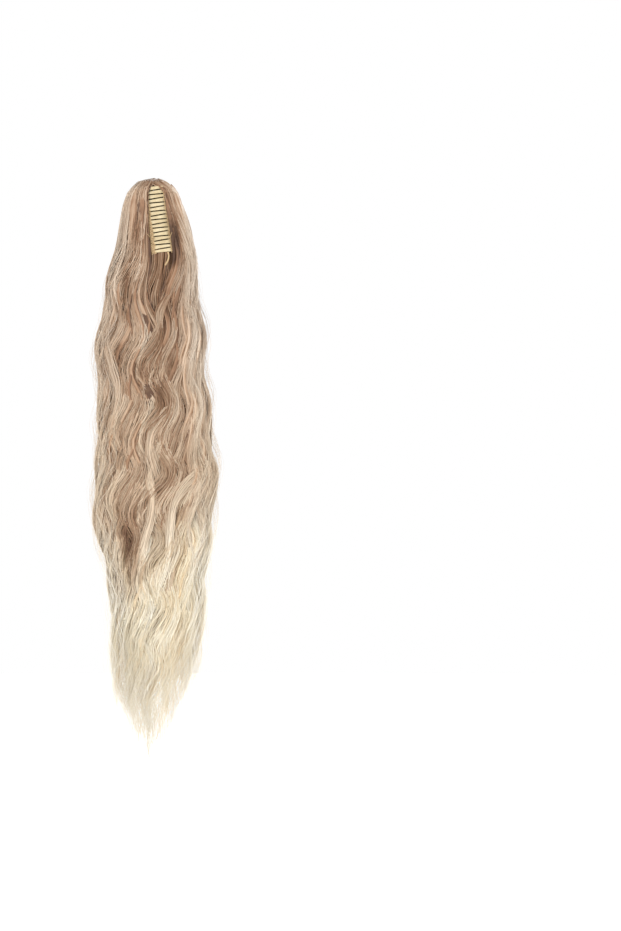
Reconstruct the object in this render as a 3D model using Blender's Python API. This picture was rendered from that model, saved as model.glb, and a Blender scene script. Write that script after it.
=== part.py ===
"""Ponytail hairpiece on a claw clip.

Metres, +Z up. The origin is the middle of the clip's mouth, where the wearer's own bun sits.
The inner side, with the clip's teeth, looks along -Y; the hair hangs down along -Z.
The clip leans a few degrees, so its pieces hang on an empty that carries the lean.
"""
from collections import namedtuple
import math

import bmesh
import bpy
from mathutils import Matrix, Vector

MM = 0.001
GAP = 0.3 * MM                 # between pieces that touch

# The clip, in its own upright frame
CLIP_LEAN = math.radians(-8)   # about Y: the clip's top leans to -X
TEETH_A_JAW = 8
TOOTH_STEP = 10.4 * MM         # from one tooth of a jaw to the next
TOOTH_ROOT = 4.6 * MM          # height of a tooth at its root
TOOTH_TIP = 2.8 * MM           # and at its tip
FIRST_TOOTH = -39.0 * MM       # height of a jaw's first tooth
PLATE = 2.2 * MM               # thickness of the moulding
EDGE = 0.45 * MM               # rounding of its edges
JAW_HALF = 41.3 * MM           # half of a jaw's length along its teeth
SHORT_END = 0.874              # the end past the last tooth is shorter by this share
HINGE_HALF = 22.0 * MM         # half of its length along its hinge
LEVER_HALF = 17.0 * MM         # and at the levers' ends
LEVER_Y = 30.8 * MM
HINGE_Y = 17.0 * MM            # the pin, behind the mouth
TEETH_Y = -14.6 * MM           # where the teeth leave the jaw
PIN_RADIUS = 1.2 * MM
PIN_HALF = 22.5 * MM
KNUCKLE_RADIUS = 3.0 * MM
KNUCKLE_OUTER = (15.8 * MM, 21.0 * MM)    # each jaw has one outer knuckle
KNUCKLE_INNER = (-15.4 * MM, -10.2 * MM)  # and one inner, at the other end
SPRING_RADIUS = 2.7 * MM
SPRING_HALF = 9.6 * MM
NET_THICK = 0.8 * MM
NET_STANDOFF = 0.6 * MM        # it is stretched over the jaw's bend, just clear of it
NET_STRAND = 0.5 * MM          # half of the strand between two meshes
NET_CELLS = (2, 20)            # meshes across and along each net
THREAD_RADIUS = 0.95 * MM

# The hair
LOCKS = 11                     # locks round the hair
POINTS_A_LOCK = 6
LOCK_DEPTH = 6.5 * MM          # of the furrow between two locks
WAVE_TOP = 97.0 * MM           # length of a wave near the clip
WAVE_TIPS = 75.0 * MM          # and near the tips
WAVE_SWING = 0.30              # how far a lock sways, as a share of its width
SQUARE = 0.82                  # 1 is an ellipse, less is fuller at the corners
HAIR_TOP = 52.0 * MM
HAIR_SPLIT = -46.3 * MM        # the crown ends above it, the long hair starts below
HAIR_END = -592.0 * MM         # where the backing of the long hair ends
CROWN_RINGS = 11
FALL_RINGS = 33

# Right jaw's section, seen from above: from the lever's end past the hinge to the teeth
JAW_PATH = [
    (14.6, 30.8), (10.6, 26.4), (7.6, 22.2), (6.2, 18.6), (8.0, 14.9), (12.4, 11.6),
    (15.6, 7.0), (16.9, 1.0), (16.2, -5.0), (13.9, -10.8), (11.4, -14.6),
]
TOOTH_PATH = [(11.4, -14.6), (5.6, -16.5), (0.0, -17.0), (-5.6, -16.5), (-10.2, -15.5)]
NET_PATH = [(16.2, -5.0), (13.9, -10.8), (11.4, -14.6)]

# Outline of the hair by height, in millimetres: its left and right edge on the inner side,
# and how far it stands out to the front (the head's side) and to the back
Section = namedtuple("Section", "height left right front back")
HAIR = [
    Section(52.0, -8, 2, -1, 11),
    Section(49.0, -22, 7, -9, 21),
    Section(45.0, -28, 13, -14, 27),
    Section(40.0, -34, 19, -18, 36),
    Section(20.0, -44, 29, -21, 46),
    Section(0.0, -48, 37, -22, 51),
    Section(-40.0, -55, 46, -22, 53),
    Section(-80.0, -67, 49, -20, 53),
    Section(-120.0, -70, 56, -20, 52),
    Section(-175.0, -81, 58, -22, 54),
    Section(-215.0, -74, 63, -24, 55),
    Section(-260.0, -78, 65, -26, 55),
    Section(-310.0, -77, 73, -27, 54),
    Section(-350.0, -82, 69, -28, 52),
    Section(-400.0, -74, 65, -28, 50),
    Section(-450.0, -62, 58, -26, 46),
    Section(-510.0, -55, 53, -23, 41),
    Section(-550.0, -52, 38, -18, 33),
    Section(-592.0, -32, 10, -9, 18),
]

# Locks that end below the backing, in millimetres
Tip = namedtuple("Tip", "across depth top bottom width thick")
TIPS = [
    Tip(-10, 2, -530, -643, 20, 12),
    Tip(0, 14, -500, -628, 22, 14),
    Tip(-28, -4, -520, -622, 20, 12),
    Tip(-40, 12, -480, -604, 20, 13),
    Tip(-50, 2, -470, -578, 16, 12),
    Tip(14, -6, -490, -606, 20, 12),
    Tip(26, 12, -470, -588, 20, 13),
    Tip(38, 0, -450, -562, 18, 12),
    Tip(46, 14, -430, -536, 14, 12),
    Tip(-18, 22, -490, -600, 20, 13),
]


def remove_everything():
    for thing in list(bpy.data.objects):
        bpy.data.objects.remove(thing)


def plain_material(name, colour, roughness):
    material = bpy.data.materials.new(name)
    material.use_nodes = True
    shader = material.node_tree.nodes["Principled BSDF"]
    shader.inputs["Base Color"].default_value = (*colour, 1)
    shader.inputs["Roughness"].default_value = roughness
    shader.inputs["Metallic"].default_value = 0
    return material


def add_object(name, bm, material=None, parent=None):
    """Turns the mesh being built into an object."""
    mesh = bpy.data.meshes.new(name)
    bm.to_mesh(mesh)
    bm.free()
    mesh.shade_smooth()
    mesh.set_sharp_from_angle(angle=math.radians(35))
    thing = bpy.data.objects.new(name, mesh)
    bpy.context.scene.collection.objects.link(thing)
    thing.parent = parent
    if material:
        mesh.materials.append(material)
    return thing


def make_helper(thing):
    """A cutter or a joined shape: it isn't a piece of its own."""
    thing.hide_render = True
    thing.display_type = "WIRE"
    return thing


def boolean(thing, helper, operation, own_overlaps=False):
    modifier = thing.modifiers.new(helper.name, "BOOLEAN")
    modifier.object = helper
    modifier.operation = operation
    modifier.solver = "EXACT"
    modifier.use_self = own_overlaps


def on_curve(rows, place):
    """The row at a place along a list of rows, on a smooth curve through them."""
    last = len(rows) - 1
    start = min(max(int(math.floor(place)), 0), last - 1)
    t = place - start
    near = [rows[min(max(start + step, 0), last)] for step in (-1, 0, 1, 2)]
    values = []
    for a, b, c, d in zip(*near):
        bend = 2 * b + (c - a) * t + (2 * a - 5 * b + 4 * c - d) * t * t
        values.append(0.5 * (bend + (3 * b - a - 3 * c + d) * t ** 3))
    return values


def sampled(points, count):
    """So many points in metres, spread evenly on a curve through points in millimetres."""
    steps = [on_curve(points, (len(points) - 1) * k / (count - 1)) for k in range(count)]
    return [Vector((x * MM, y * MM)) for x, y in steps]


# The hair's form

def section_at(height):
    """The hair's outline at a height, between the rows of the table."""
    for index, (above, below) in enumerate(zip(HAIR, HAIR[1:])):
        if height >= below.height * MM:
            break
    share = (above.height * MM - height) / ((above.height - below.height) * MM)
    return Section(*on_curve(HAIR, index + min(max(share, 0), 1)))


def wave_phase(height):
    """Waves passed from the top of the hair down to a height: they get shorter downwards."""
    depth = HAIR_TOP - height
    length = HAIR_TOP - HAIR_END
    slower = 1 / WAVE_TOP
    faster = 1 / WAVE_TIPS
    return 2 * math.pi * depth * (slower + (faster - slower) * depth / (2 * length))


def fade(value, start, end):
    """Rises smoothly from 0 at the start to 1 at the end."""
    share = min(max((value - start) / (end - start), 0), 1)
    return share * share * (3 - 2 * share)


def hair_point(height, turn):
    """A point on the outside of the hair; turn runs from 0 to 1, from +X by the back."""
    row = section_at(height)
    angle = 2 * math.pi * turn
    across, along = math.cos(angle), math.sin(angle)
    half = (row.right - row.left) / 2 * MM
    deep = (row.back if along > 0 else -row.front) * MM
    x = (row.right + row.left) / 2 * MM + half * math.copysign(abs(across) ** SQUARE, across)
    y = deep * math.copysign(abs(along) ** SQUARE, along)
    sway = WAVE_SWING * math.sin(wave_phase(height) + 2 * math.sin(angle))
    sway *= fade(-height, -10 * MM, 110 * MM)
    furrow = 1 - abs(math.sin(math.pi * (LOCKS * turn + sway)))
    depth = LOCK_DEPTH * furrow ** 2 * (0.4 + 0.6 * fade(-height, 0, 100 * MM))
    under_clip = fade(-height, 26 * MM, 42 * MM) * (1 - fade(-height, 70 * MM, 150 * MM))
    hollow = 9 * MM * under_clip * math.exp(-((x - 6 * MM) / (18 * MM)) ** 2) * (along < 0)
    centre = Vector(((row.right + row.left) / 2 * MM, 8 * MM, height))
    point = Vector((x, y, height))
    inward = (centre - point).normalized()
    return point + inward * depth + Vector((0, hollow, 0))


def lofted(rings):
    """A closed solid through rings of points, with a flat face at each end."""
    bm = bmesh.new()
    place = bm.verts.layers.int.new("place")
    first = [bm.verts.new(point) for point in rings[0]]
    for index, vert in enumerate(first):
        vert[place] = index
    edges = [bm.edges.new(pair) for pair in zip(first, first[1:] + first[:1])]
    start = list(edges)
    for ring in rings[1:]:
        grown = bmesh.ops.extrude_edge_only(bm, edges=edges)["geom"]
        edges = [part for part in grown if isinstance(part, bmesh.types.BMEdge)]
        verts = [part for part in grown if isinstance(part, bmesh.types.BMVert)]
        edges = [edge for edge in edges if edge.verts[0] in verts and edge.verts[1] in verts]
        for vert in verts:
            vert.co = ring[vert[place]]
    bmesh.ops.edgeloop_fill(bm, edges=start)
    bmesh.ops.edgeloop_fill(bm, edges=edges)
    bmesh.ops.recalc_face_normals(bm, faces=bm.faces)
    return bm


def hair_rings(top, bottom, count, ease=1.0):
    turns = [k / (LOCKS * POINTS_A_LOCK) for k in range(LOCKS * POINTS_A_LOCK)]
    heights = [top + (bottom - top) * (k / (count - 1)) ** ease for k in range(count)]
    return [[hair_point(height, turn) for turn in turns] for height in heights]


def make_tip(tip):
    """A free lock at the bottom of the hair: it sways and thins out to a point."""
    rings = []
    for share in (0, 0.18, 0.36, 0.54, 0.72, 0.88, 1.0):
        height = (tip.top + (tip.bottom - tip.top) * share) * MM
        slim = math.sqrt(max(1 - share, 0.002)) * (0.75 + 0.25 * (1 - share))
        swing = 5 * MM * math.sin(wave_phase(height) + tip.across * 0.05)
        ring = []
        for k in range(8):
            angle = 2 * math.pi * k / 8
            x = (tip.across + tip.width / 2 * slim * math.cos(angle)) * MM + swing
            y = (tip.depth + tip.thick / 2 * slim * math.sin(angle)) * MM
            ring.append(Vector((x, y, height)))
        rings.append(ring)
    return lofted(rings)


# The clip

def half_height(y):
    """Half of the jaw's height at a depth: it narrows to the hinge, and again to the lever."""
    if y > HINGE_Y:
        share = min((y - HINGE_Y) / (LEVER_Y - HINGE_Y), 1)
        return HINGE_HALF + (LEVER_HALF - HINGE_HALF) * share
    share = max((y - TEETH_Y) / (HINGE_Y - TEETH_Y), 0)
    return JAW_HALF + (HINGE_HALF - JAW_HALF) * share


def strip(path, lines, heights):
    """A sheet over a path seen from above, with a row of faces between two lines."""
    bm = bmesh.new()
    bmesh.ops.create_grid(bm, x_segments=len(path) - 1, y_segments=len(lines) - 1, size=1)
    for vert in bm.verts:
        column = round((vert.co.x + 1) / 2 * (len(path) - 1))
        line = round((vert.co.y + 1) / 2 * (len(lines) - 1))
        spot = path[column]
        vert.co = (spot.x, spot.y, lines[line] * heights(column))
    bm.normal_update()
    return bm


def jaw_sheet():
    """The jaw's middle surface: one sheet with the lever, the plate and eight teeth."""
    path = sampled(JAW_PATH, 12)
    teeth = sampled(TOOTH_PATH, 6)
    centres = [FIRST_TOOTH + TOOTH_STEP * k for k in range(TEETH_A_JAW)]
    lines = []
    for centre in centres:
        lines += [centre - TOOTH_ROOT / 2, centre + TOOTH_ROOT / 2]
    shares = [line / JAW_HALF for line in lines]
    bm = strip(path, shares, lambda column: half_height(path[column].y))
    for centre in centres:
        root = TOOTH_ROOT / 2
        edges = [e for e in bm.edges if e.is_boundary and on_root(e, path[-1], centre, root)]
        for step, spot in enumerate(teeth[1:], 1):
            grown = bmesh.ops.extrude_edge_only(bm, edges=edges)["geom"]
            verts = [part for part in grown if isinstance(part, bmesh.types.BMVert)]
            half = root + (TOOTH_TIP / 2 - root) * step / (len(teeth) - 1)
            for vert in verts:
                vert.co = (spot.x, spot.y, centre + math.copysign(half, vert.co.z - centre))
            edges = [
                e for e in bm.edges
                if e.verts[0] in verts and e.verts[1] in verts
            ]
    bmesh.ops.dissolve_limit(bm, angle_limit=math.radians(1), verts=bm.verts, edges=bm.edges)
    bmesh.ops.recalc_face_normals(bm, faces=bm.faces)
    return bm


def on_root(edge, spot, centre, half):
    """Whether an edge of the plate is where a tooth grows out."""
    for vert in edge.verts:
        if (vert.co.xy - spot).length > 0.01 * MM or abs(abs(vert.co.z - centre) - half) > 0.01 * MM:
            return False
    return True


def cylinder(name, radius, low, high, sides, material=None, parent=None):
    bm = bmesh.new()
    bmesh.ops.create_cone(
        bm, cap_ends=True, segments=sides, radius1=radius, radius2=radius, depth=high - low
    )
    bmesh.ops.translate(bm, verts=bm.verts, vec=(0, 0, (low + high) / 2))
    thing = add_object(name, bm, material, parent)
    return thing


def box_helper(name, lows, highs, parent):
    bm = bmesh.new()
    bmesh.ops.create_cube(bm, size=1)
    size = [high - low for low, high in zip(lows, highs)]
    bmesh.ops.scale(bm, verts=bm.verts, vec=size)
    bmesh.ops.translate(bm, verts=bm.verts, vec=[(a + b) / 2 for a, b in zip(lows, highs)])
    return make_helper(add_object(name, bm, parent=parent))


def make_jaw(name, material, hinge, turned):
    """One jaw, drawn as the right one; the left one is the same moulding turned over."""
    jaw = add_object(name, jaw_sheet(), material, hinge)
    jaw.data.transform(Matrix.Translation((0, -HINGE_Y, 0)))
    thick = jaw.modifiers.new("thickness", "SOLIDIFY")
    thick.thickness = PLATE
    thick.offset = 0
    thick.use_even_offset = True
    edges = jaw.modifiers.new("rounded edges", "BEVEL")
    edges.width = EDGE
    edges.segments = 1
    edges.limit_method = "ANGLE"
    edges.angle_limit = math.radians(60)
    for label, (low, high) in (("outer", KNUCKLE_OUTER), ("inner", KNUCKLE_INNER)):
        knuckle = cylinder(f"{name}_{label}_knuckle", KNUCKLE_RADIUS, low, high, 12, parent=jaw)
        make_helper(knuckle)
        web = box_helper(
            f"{name}_{label}_web", (0, -1.7 * MM, low + 0.1 * MM),
            (6.8 * MM, 2.4 * MM, high - 0.1 * MM), jaw,
        )
        boolean(jaw, knuckle, "UNION")
        boolean(jaw, web, "UNION")
    bore = cylinder(f"{name}_bore", PIN_RADIUS + GAP, -2 * PIN_HALF, 2 * PIN_HALF, 16, parent=jaw)
    boolean(jaw, make_helper(bore), "DIFFERENCE")
    jaw.rotation_euler = (0, math.pi, 0) if turned else (0, 0, 0)
    return jaw


def make_net(name, material, hinge, turned):
    """The net that ties the hair to a jaw, where it lies open beside the teeth."""
    across, along = NET_CELLS
    outward = PLATE / 2 + NET_STANDOFF + NET_THICK / 2
    path = sampled(NET_PATH, across + 1)
    shifted = []
    for index, spot in enumerate(path):
        before = path[max(index - 1, 0)]
        after = path[min(index + 1, len(path) - 1)]
        step = (after - before).normalized()
        shifted.append(spot + Vector((-step.y, step.x)) * outward)
    lines = [-1 + (1 + SHORT_END) * k / along for k in range(along + 1)]
    bm = strip(shifted, lines, lambda column: half_height(shifted[column].y) - 1.2 * MM)
    cells = bmesh.ops.inset_individual(bm, faces=bm.faces, thickness=NET_STRAND)
    holes = [face for face in bm.faces if face not in set(cells["faces"])]
    bmesh.ops.delete(bm, geom=holes, context="FACES")
    bmesh.ops.recalc_face_normals(bm, faces=bm.faces)
    bmesh.ops.translate(bm, verts=bm.verts, vec=(0, -HINGE_Y, 0))
    net = add_object(name, bm, material, hinge)
    thick = net.modifiers.new("thickness", "SOLIDIFY")
    thick.thickness = NET_THICK
    thick.offset = 0
    net.rotation_euler = (0, math.pi, 0) if turned else (0, 0, 0)
    return net


def clip_room(lean):
    """The room that the clip takes inside the hair: round its jaws, its levers and its front."""
    side = [(17.0, -12.0), (19.4, -6.0), (20.2, 1.5), (18.6, 9.0), (15.0, 14.0)]
    right = [Vector((x * MM, y * MM)) for x, y in side]
    outline = right + [Vector((-spot.x, spot.y)) for spot in reversed(right)]
    ring = room("room_ring", outline, lambda y: half_height(y) + 2.0 * MM, lean)
    front = [(19 * MM, -60 * MM), (19 * MM, -9 * MM), (-18 * MM, -9 * MM), (-18 * MM, -60 * MM)]
    window = room("room_window", [Vector(spot) for spot in front], lambda y: 45.2 * MM, lean)
    back = [(12, 10), (17.6, 33.4), (-17.6, 33.4), (-12, 10)]
    corners = [Vector((x * MM, y * MM)) for x, y in back]
    levers = room("room_levers", corners, lambda y: 30 * MM - 0.25 * y, lean)
    boolean(ring, window, "UNION")
    boolean(ring, levers, "UNION")
    return ring


def room(name, outline, half_at, lean):
    """A solid over an outline; its ends slope as the jaws' ends do, short where they are short."""
    slope = JAW_HALF * (1 - SHORT_END) / (40 * MM)
    rings = []
    for sign in (-1, 1):
        ends = [sign * half_at(spot.y) - slope * (spot.x + sign * 20 * MM) for spot in outline]
        rings.append([(spot.x, spot.y, end) for spot, end in zip(outline, ends)])
    return make_helper(add_object(name, lofted(rings), parent=lean))


def make_thread(material, hinge):
    """The end of the sewing thread, tied off under the clip's lowest tooth."""
    curve = bpy.data.curves.new("thread_tail", "CURVE")
    curve.dimensions = "3D"
    curve.bevel_depth = THREAD_RADIUS
    curve.bevel_resolution = 2
    curve.use_fill_caps = True
    corners = [(5.2, -17.4, -41.7), (5.8, -18.2, -46.0), (4.2, -18.6, -51.5), (-0.2, -18.8, -57.4)]
    points = [on_curve(corners, 3 * k / 6) for k in range(7)]
    spline = curve.splines.new("POLY")
    spline.points.add(len(points) - 1)
    for point, (x, y, z) in zip(spline.points, points):
        point.co = (x * MM, y * MM - HINGE_Y, z * MM, 1)
    thread = bpy.data.objects.new("thread_tail", curve)
    bpy.context.scene.collection.objects.link(thread)
    curve.materials.append(material)
    thread.parent = hinge
    return thread


def empty(name, parent=None, location=(0, 0, 0)):
    thing = bpy.data.objects.new(name, None)
    bpy.context.scene.collection.objects.link(thing)
    thing.parent = parent
    thing.location = location
    return thing


def make_clip(lean):
    plastic = plain_material("cream_plastic", (0.76, 0.63, 0.37), 0.38)
    net = plain_material("cream_net", (0.68, 0.53, 0.31), 0.75)
    steel = plain_material("spring_steel", (0.45, 0.44, 0.42), 0.35)
    thread = plain_material("sewing_thread", (0.80, 0.58, 0.38), 0.7)
    hinge = empty("hinge_axis", lean, (0, HINGE_Y, 0))
    jaw_hinge = empty("jaw_axis", hinge)
    make_jaw("jaw_left", plastic, hinge, turned=True)
    make_net("net_left", net, hinge, turned=True)
    make_jaw("jaw_right", plastic, jaw_hinge, turned=False)
    make_net("net_right", net, jaw_hinge, turned=False)
    make_thread(thread, hinge)
    cylinder("hinge_pin", PIN_RADIUS, -PIN_HALF, PIN_HALF, 16, steel, hinge)
    spring = cylinder("hinge_spring", SPRING_RADIUS, -SPRING_HALF, SPRING_HALF, 20, steel, hinge)
    bore = cylinder("spring_bore", PIN_RADIUS + GAP, -PIN_HALF, PIN_HALF, 16, parent=hinge)
    boolean(spring, make_helper(bore), "DIFFERENCE")


def make_hair(lean):
    hair = plain_material("blonde_hair", (0.48, 0.33, 0.21), 0.5)
    pale = plain_material("pale_hair", (0.74, 0.60, 0.42), 0.5)
    crown = add_object(
        "hair_crown", lofted(hair_rings(HAIR_TOP, HAIR_SPLIT + GAP, CROWN_RINGS, 1.5)), hair
    )
    boolean(crown, clip_room(lean), "DIFFERENCE")
    fall = add_object("hair_fall", lofted(hair_rings(HAIR_SPLIT, HAIR_END, FALL_RINGS)), pale)
    tips = bmesh.new()
    for tip in TIPS:
        lock = make_tip(tip)
        mesh = bpy.data.meshes.new("lock")
        lock.to_mesh(mesh)
        lock.free()
        tips.from_mesh(mesh)
        bpy.data.meshes.remove(mesh)
    free_locks = make_helper(add_object("free_locks", tips))
    boolean(fall, free_locks, "UNION", own_overlaps=True)


remove_everything()
clip_lean = empty("clip_lean")
clip_lean.rotation_euler = (0, CLIP_LEAN, 0)
make_clip(clip_lean)
make_hair(clip_lean)
bpy.context.view_layer.update()
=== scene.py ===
# %% [markdown]
# # A ponytail hairpiece on a claw clip
# The real thing is a claw clip with 16 cream teeth. Wefts of long wavy hair are sewn to its two
# jaws. It is worn over a small bun, so the photo's left view shows the side that faces the head:
# the teeth in a narrow window, and hair all round it.
#
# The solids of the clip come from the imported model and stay. The two soft solids, the crown and
# the fall of the hair, are replaced here by what they stand for: a cap, locks and about 2,500
# fine strands, which follow the same outline.

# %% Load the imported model
import math
from collections import namedtuple

import bmesh
import bpy
import numpy as np
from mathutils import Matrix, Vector


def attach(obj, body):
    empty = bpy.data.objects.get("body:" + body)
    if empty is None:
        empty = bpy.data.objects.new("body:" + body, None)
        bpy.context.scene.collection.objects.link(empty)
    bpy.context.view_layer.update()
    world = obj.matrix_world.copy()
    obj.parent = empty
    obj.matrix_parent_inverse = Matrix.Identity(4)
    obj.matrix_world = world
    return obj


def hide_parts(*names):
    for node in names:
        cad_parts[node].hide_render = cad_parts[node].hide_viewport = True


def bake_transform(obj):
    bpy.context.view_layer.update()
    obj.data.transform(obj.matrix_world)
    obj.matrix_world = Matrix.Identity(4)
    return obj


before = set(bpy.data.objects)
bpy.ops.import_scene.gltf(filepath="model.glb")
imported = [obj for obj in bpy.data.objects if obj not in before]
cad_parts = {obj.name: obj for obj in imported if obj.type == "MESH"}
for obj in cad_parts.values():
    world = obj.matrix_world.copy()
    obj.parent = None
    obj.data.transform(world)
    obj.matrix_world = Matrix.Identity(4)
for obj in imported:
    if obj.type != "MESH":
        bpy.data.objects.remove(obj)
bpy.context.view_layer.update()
scene = bpy.context.scene
MM = 0.001
rng = np.random.default_rng(28)
print("nodes:", sorted(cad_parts))

# %% [markdown]
# ## Camera
# The photo is taken straight from the front, from far away. The camera is level with the
# picture's middle, 4 m in front of the hairpiece, and looks a little to the right, because the
# hairpiece hangs in the left half of the picture. A pixel is 1.243 mm at the clip.

# %% Camera
PICTURE = (621, 931)             # pixels, wide and high
CLIP_AT = (158.9, 220.5)         # pixel where the middle of the clip shows
PIXEL = 1.243 * MM
DISTANCE = 4.0

lens = bpy.data.cameras.new("photo_camera")
lens.sensor_width = 36
lens.lens = lens.sensor_width * DISTANCE / (PICTURE[1] * PIXEL)
camera = bpy.data.objects.new("photo_camera", lens)
scene.collection.objects.link(camera)
aside = (PICTURE[0] / 2 - CLIP_AT[0]) * PIXEL
below = (PICTURE[1] / 2 - CLIP_AT[1]) * PIXEL
camera.location = (0, -DISTANCE, -below)
camera.rotation_euler = (math.pi / 2, 0, -math.atan(aside / DISTANCE))
lens.clip_end = 50
scene.camera = camera
print("lens", round(lens.lens, 1), "mm; aims", round(aside, 3), "m to the right")

# %% [markdown]
# ## Light, floor and background
# The photo has soft light from all sides and a pure white background. A white world gives the
# background and the fill light. Three large soft lamps in front, beside and behind give the locks
# their highlights. The floor is a plain pale disc well below the hair.

# %% Light and floor
AMBIENT = 0.85
scene.view_settings.view_transform = "Standard"
world = bpy.data.worlds.new("white_studio")
scene.world = world
world.use_nodes = True
sky = world.node_tree
backdrop = sky.nodes["Background"]
backdrop.inputs["Color"].default_value = (1, 1, 1, 1)
path = sky.nodes.new("ShaderNodeLightPath")
level = sky.nodes.new("ShaderNodeMapRange")
level.inputs["To Min"].default_value = AMBIENT
level.inputs["To Max"].default_value = 1.0
sky.links.new(path.outputs["Is Camera Ray"], level.inputs["Value"])
sky.links.new(level.outputs["Result"], backdrop.inputs["Strength"])


def softbox(name, place, target, size, power):
    lamp = bpy.data.lights.new(name, "AREA")
    lamp.shape = "DISK"
    lamp.size = size
    lamp.energy = power
    thing = bpy.data.objects.new(name, lamp)
    scene.collection.objects.link(thing)
    thing.location = place
    aim = Vector(target) - Vector(place)
    thing.rotation_euler = aim.to_track_quat("-Z", "Y").to_euler()


MIDDLE = (0, 0, -0.3)
softbox("softbox_front", (-1.3, -2.6, 1.1), MIDDLE, 1.6, 46)
softbox("softbox_side", (2.2, -1.2, 0.5), MIDDLE, 1.2, 18)
softbox("softbox_back", (0.8, 2.6, 1.2), MIDDLE, 1.6, 40)
print("lamps:", [lamp.name for lamp in bpy.data.lights])

# %% [markdown]
# ## Shader maths
# Materials are written as expressions. A `Wire` stands for one output of a node, and sums and
# products of wires add the Math nodes. A `Finish` is one material, and its `node` method makes
# any other node: its settings first, then the values and wires that go into it.

# %% Wires and finishes
def plug(slot, value):
    if isinstance(value, Wire):
        slot.id_data.links.new(value.socket, slot)
    else:
        slot.default_value = value


class Wire:
    """One output of a shader node, with arithmetic."""

    def __init__(self, socket):
        self.socket = socket

    def combined(self, operation, first, second):
        node = self.socket.id_data.nodes.new("ShaderNodeMath")
        node.operation = operation
        plug(node.inputs[0], first)
        plug(node.inputs[1], second)
        return Wire(node.outputs[0])

    def __add__(self, other):
        return self.combined("ADD", self, other)

    def __radd__(self, other):
        return self.combined("ADD", other, self)

    def __sub__(self, other):
        return self.combined("SUBTRACT", self, other)

    def __rsub__(self, other):
        return self.combined("SUBTRACT", other, self)

    def __mul__(self, other):
        return self.combined("MULTIPLY", self, other)

    def __rmul__(self, other):
        return self.combined("MULTIPLY", other, self)


class Finish:
    """A material whose nodes are added one by one."""

    def __init__(self, name):
        self.material = bpy.data.materials.new(name)
        self.material.use_nodes = True
        self.tree = self.material.node_tree
        self.surface = self.tree.nodes["Principled BSDF"]

    def node(self, kind, settings=None, inputs=None, output=0):
        node = self.tree.nodes.new("ShaderNode" + kind)
        for name, value in (settings or {}).items():
            if name == "stops":
                self.set_stops(node.color_ramp, value)
            else:
                setattr(node, name, value)
        for name, value in (inputs or {}).items():
            plug(node.inputs[name], value)
        return Wire(node.outputs[output])

    def set_stops(self, ramp, stops):
        while len(ramp.elements) < len(stops):
            ramp.elements.new(0.5)
        for element, (place, colour) in zip(ramp.elements, stops):
            element.position = place
            element.color = colour

    def ramp(self, factor, stops):
        return self.node("ValToRGB", {"stops": stops}, {"Fac": factor})

    def mix(self, factor, first, second):
        return self.node("Mix", {"data_type": "RGBA"}, {0: factor, 6: first, 7: second}, 2)

    def place(self):
        """Object coordinates, which stay with the piece when it moves."""
        return self.node("TexCoord", output=3)

    def noise(self, where, scale, detail=2.0, squeeze=(1, 1, 1)):
        spread = self.node("Mapping", None, {"Vector": where, "Scale": squeeze})
        return self.node("TexNoise", None, {"Vector": spread, "Scale": scale, "Detail": detail})

    def bands(self, where, scale, distortion):
        inputs = {"Vector": where, "Scale": scale, "Distortion": distortion}
        return self.node("TexWave", {"bands_direction": "Z"}, inputs, 1)

    def bump(self, height, strength, distance):
        inputs = {"Height": height, "Strength": strength, "Distance": distance}
        return self.node("Bump", None, inputs)

    def set(self, **values):
        for name, value in values.items():
            plug(self.surface.inputs[name.replace("_", " ")], value)
        return self.material


def colour(red, green, blue):
    """A colour given as it shows on screen, 0 to 255, as the linear one that shaders use."""
    return (*(((shown / 255 + 0.055) / 1.055) ** 2.4 for shown in (red, green, blue)), 1)


# %% [markdown]
# ## Floor
# A disc is enough: it only has to be pale and quiet. It glows a little, so that it is as white
# as the background.

# %% Floor
FLOOR_HEIGHT = -0.95
FLOOR_RADIUS = 6.0
FLOOR_GLOW = 0.35
bm = bmesh.new()
bmesh.ops.create_circle(bm, cap_ends=True, segments=64, radius=FLOOR_RADIUS)
floor_mesh = bpy.data.meshes.new("floor")
bm.to_mesh(floor_mesh)
bm.free()
floor = bpy.data.objects.new("floor", floor_mesh)
scene.collection.objects.link(floor)
floor.location.z = FLOOR_HEIGHT
paint = Finish("pale_floor")
grain = paint.noise(paint.place(), 3.0)
shade = paint.ramp(grain, [(0, (0.93, 0.93, 0.93, 1)), (1, (0.97, 0.97, 0.97, 1))])
floor_mesh.materials.append(paint.set(
    Base_Color=shade, Roughness=0.9, Emission_Color=shade, Emission_Strength=FLOOR_GLOW,
))
print("floor", round(-FLOOR_HEIGHT * 1000), "mm below the clip's middle")

# %% [markdown]
# ## Finishes of the clip
# The jaws are moulded in cream plastic, a little glossy, with faint mottling from the mould and
# slightly yellower specks. Noise on object coordinates gives both, and a fine bump breaks the
# highlights. The net has a fine weave and the thread the twist of its plies, both made of wavy
# bands. The steel of the pin and the spring is brushed round: its noise is squeezed along the pin.

# %% Finishes of the clip
def cream_plastic():
    finish = Finish("cream_plastic")
    where = finish.place()
    cloud = finish.noise(where, 90.0, 3.0)
    skin = finish.noise(where, 900.0, 2.0)
    base = finish.ramp(cloud, [(0.3, colour(192, 173, 134)), (0.7, colour(213, 198, 162))])
    base = finish.mix(0.25 * skin, base, colour(142, 120, 80))
    rough = 0.32 + 0.12 * cloud
    normal = finish.bump(skin, 0.15, 0.0002)
    return finish.set(Base_Color=base, Roughness=rough, Normal=normal)


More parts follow.
